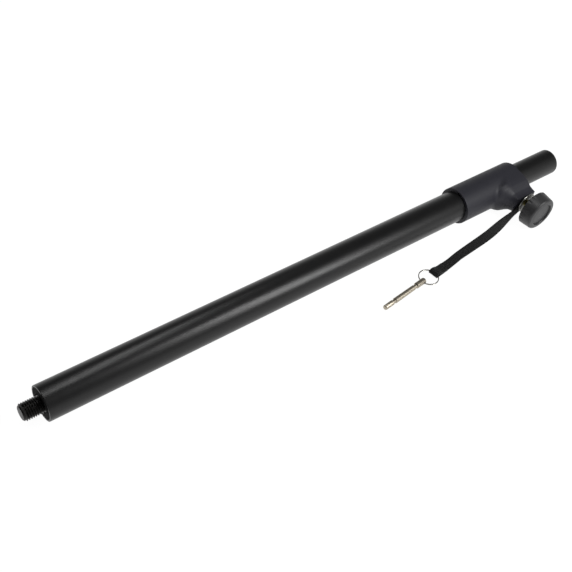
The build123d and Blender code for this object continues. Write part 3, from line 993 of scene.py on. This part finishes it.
def webbing_fold():
    """The other end, folded round the ring and sewn down on itself in two plies."""
    low, high, radius = -2.575, -0.925, 2.9
    line = [(FOLD_LENGTH, low), (14.0, low), (9.0, low - 0.05), (4.0, -2.8)]
    line += [(-radius * math.sin(math.radians(a)), -radius * math.cos(math.radians(a))) for a in range(0, 181, 12)]
    for i in range(1, 9):
        share = i / 8
        fall = (1 - math.cos(math.pi * share)) / 2
        line.append((13.5 * share, radius + (high - radius) * fall))
    line.append((FOLD_LENGTH, high))
    form = bmesh.new()
    points = [form.verts.new((x, y, -WEB_WIDTH / 2)) for x, y in line]
    for first, second in zip(points, points[1:]):
        form.edges.new((first, second))
    bmesh.ops.spin(
        form, geom=form.verts[:] + form.edges[:], cent=(0, 0, 0), axis=(0, 0, 1),
        dvec=(0, 0, WEB_WIDTH / FOLD_COLUMNS), angle=0, steps=FOLD_COLUMNS, use_merge=False,
    )
    walked = [0.0]
    for one, two in zip(line, line[1:]):
        walked.append(walked[-1] + math.dist(one, two))
    spots = {}
    for vert in form.verts:
        step = min(range(len(line)), key=lambda i: math.dist(line[i], vert.co.xy))
        spots[vert] = (walked[step] * MM, vert.co.z * MM)
    webbing_uv(form, spots.get)
    place(form, LOOP_AXIS)
    made = piece("webbing_fold", form, WEBBING, "pole_body", ["strap_fold"])
    shell = made.modifiers.new("thickness", "SOLIDIFY")
    shell.thickness = 1.5 * MM
    shell.offset = 0
    top = LOOP_AXIS @ frame_at((0, high + 0.75, 0), (1, 0, 0), (0, 1, 0))
    line = [(14, -4.4), (19.6, -4.4), (19.6, 4.4), (14, 4.4), (14, -4.4)]
    piece("fold_stitching", stitches(line, top), THREAD, "pole_body")
    return made


WEB_LINE = webbing_line()


def free_webbing():
    line = WEB_LINE
    columns = 12
    form = bmesh.new()
    bmesh.ops.create_grid(form, x_segments=len(line) - 1, y_segments=columns, size=0.5)
    spots = {}
    walked = [0.0]
    for one, two in zip(line, line[1:]):
        walked.append(walked[-1] + (two - one).length)
    for vert in form.verts:
        row = round((vert.co.x + 0.5) * (len(line) - 1))
        side = vert.co.y * WEB_WIDTH * MM
        ahead = line[min(row + 1, len(line) - 1)] - line[max(row - 1, 0)]
        heading = ahead.normalized()
        vert.co = line[row] + across_web(heading, tilt_near(line[row])) * side
        spots[vert] = (walked[row], side)
    webbing_uv(form, spots.get)
    made = piece("lanyard", form, WEBBING, "pole_body", ["lanyard_strap"])
    shell = made.modifiers.new("thickness", "SOLIDIFY")
    shell.thickness = WEB_THICKNESS * MM
    shell.offset = 0
    return made, walked[-1]


def split_ring():
    form = bmesh.new()
    half = WIRE_WIDTH / 2
    low = -RING_HEIGHT / 2
    corners = [(RING_R - half, low), (RING_R + half, low), (RING_R + half, low + WIRE_HEIGHT), (RING_R - half, low + WIRE_HEIGHT)]
    form.faces.new([form.verts.new((x, 0, z)) for x, z in corners])
    bmesh.ops.bevel(form, geom=form.verts[:], offset=0.3, segments=3, profile=0.5, affect="VERTICES", material=-1)
    start = form.verts[:] + form.edges[:] + form.faces[:]
    bmesh.ops.spin(
        form, geom=start, cent=(0, 0, 0), axis=(0, 0, 1), dvec=(0, 0, (RING_HEIGHT - WIRE_HEIGHT) / 192),
        angle=2 * math.tau, steps=192, use_merge=False,
    )
    bmesh.ops.remove_doubles(form, verts=form.verts, dist=0.001)
    bmesh.ops.recalc_face_normals(form, faces=form.faces)
    place(form, RING_AXIS)
    return piece("ring", form, NICKEL, "split_ring", ["split_ring"])


lanyard, web_length = free_webbing()
webbing_eye()
fold = webbing_fold()
ring = split_ring()


# The studio

def seen_rays(tree):
    """1 for the rays that show a backdrop: the camera's, and those seen in metal or through glass."""
    path = add(tree, "ShaderNodeLightPath").outputs
    either = add(tree, "ShaderNodeMath", {0: path["Is Camera Ray"], 1: path["Is Glossy Ray"]}, operation="MAXIMUM")
    return add(tree, "ShaderNodeMath", {0: either.outputs[0], 1: path["Is Transmission Ray"]}, operation="MAXIMUM").outputs[0]


def white_floor():
    """A plain white sweep. What the camera sees of it is nearly all its own white, so that only the
    object's shadow tints it."""
    form = bmesh.new()
    bmesh.ops.create_grid(form, x_segments=1, y_segments=1, size=6.0)
    bmesh.ops.translate(form, vec=(0.4, 0, FLOOR * MM - 0.0003), verts=form.verts)
    mesh = bpy.data.meshes.new("studio_floor")
    form.to_mesh(mesh)
    form.free()
    floor = bpy.data.objects.new("studio_floor", mesh)
    bpy.context.scene.collection.objects.link(floor)
    material = bpy.data.materials.new("white_paper_floor")
    material.use_nodes = True
    tree = material.node_tree
    tree.nodes.clear()
    paper = add(tree, "ShaderNodeBsdfDiffuse", {"Color": colour("#f4f4f4")})
    glow = add(tree, "ShaderNodeEmission", {"Color": (1, 1, 1, 1), "Strength": 1.1})
    share = add(tree, "ShaderNodeMath", {0: seen_rays(tree), 1: 0.88}, operation="MULTIPLY")
    blend = add(tree, "ShaderNodeMixShader", {0: share.outputs[0], 1: paper.outputs[0], 2: glow.outputs[0]})
    output = add(tree, "ShaderNodeOutputMaterial")
    tree.links.new(blend.outputs[0], output.inputs["Surface"])
    mesh.materials.append(material)


def studio_world():
    """A white backdrop at the horizon, the studio's dark ceiling overhead, and a black flag that shades
    the foot's side."""
    world = bpy.data.worlds.new("studio")
    bpy.context.scene.world = world
    world.use_nodes = True
    tree = world.node_tree
    tree.nodes.clear()
    direction = add(tree, "ShaderNodeSeparateXYZ", {"Vector": add(tree, "ShaderNodeTexCoord").outputs["Generated"]})
    ceiling = add(tree, "ShaderNodeMapRange", {
        "Value": direction.outputs["Z"], "From Min": 0.08, "From Max": 0.5, "To Min": 0.65, "To Max": 0.1,
    }, interpolation_type="SMOOTHSTEP").outputs["Result"]
    flag = add(tree, "ShaderNodeMapRange", {
        "Value": direction.outputs["X"], "From Min": -0.7, "From Max": 0.1, "To Min": 0.25, "To Max": 1.0,
    }, interpolation_type="SMOOTHSTEP").outputs["Result"]
    shaded = add(tree, "ShaderNodeMath", {0: ceiling, 1: flag}, operation="MULTIPLY").outputs[0]
    camera_ray = add(tree, "ShaderNodeLightPath").outputs["Is Camera Ray"]
    strength = add(tree, "ShaderNodeMix", {"Factor": camera_ray, "A": shaded, "B": 1.0})
    background = add(tree, "ShaderNodeBackground", {"Color": (1, 1, 1, 1), "Strength": strength.outputs["Result"]})
    output = add(tree, "ShaderNodeOutputWorld")
    tree.links.new(background.outputs[0], output.inputs["Surface"])


def softbox(name, where, towards, width, depth, watts):
    """A rectangular soft light aimed at a point, in metres."""
    light = bpy.data.lights.new(name, "AREA")
    light.shape = "RECTANGLE"
    light.size = width
    light.size_y = depth
    light.energy = watts
    lamp = bpy.data.objects.new(name, light)
    bpy.context.scene.collection.objects.link(lamp)
    lamp.location = where
    aim = Vector(towards) - Vector(where)
    lamp.rotation_euler = aim.to_track_quat("-Z", "X").to_euler()
    return lamp


def camera():
    """The photograph's viewpoint: above the foot's side, looking down along the pole."""
    data = bpy.data.cameras.new("camera")
    data.sensor_width = 36.0
    data.lens = 58.62
    eye = bpy.data.objects.new("camera", data)
    bpy.context.scene.collection.objects.link(eye)
    eye.location = (-0.21585, -0.54190, 0.79861)
    eye.rotation_euler = [math.radians(turn) for turn in (43.1616, -6.7725, -37.2989)]
    bpy.context.scene.camera = eye


white_floor()
studio_world()
softbox("foot_softbox", (0.35, 0.36, 1.4), (0.15, 0, 0), 1.1, 0.2, 6)
softbox("collar_softbox", (1.06, -1.04, 1.1), (0.38, 0, 0), 1.05, 0.32, 18)
camera()
bpy.context.scene.view_settings.view_transform = "Standard"
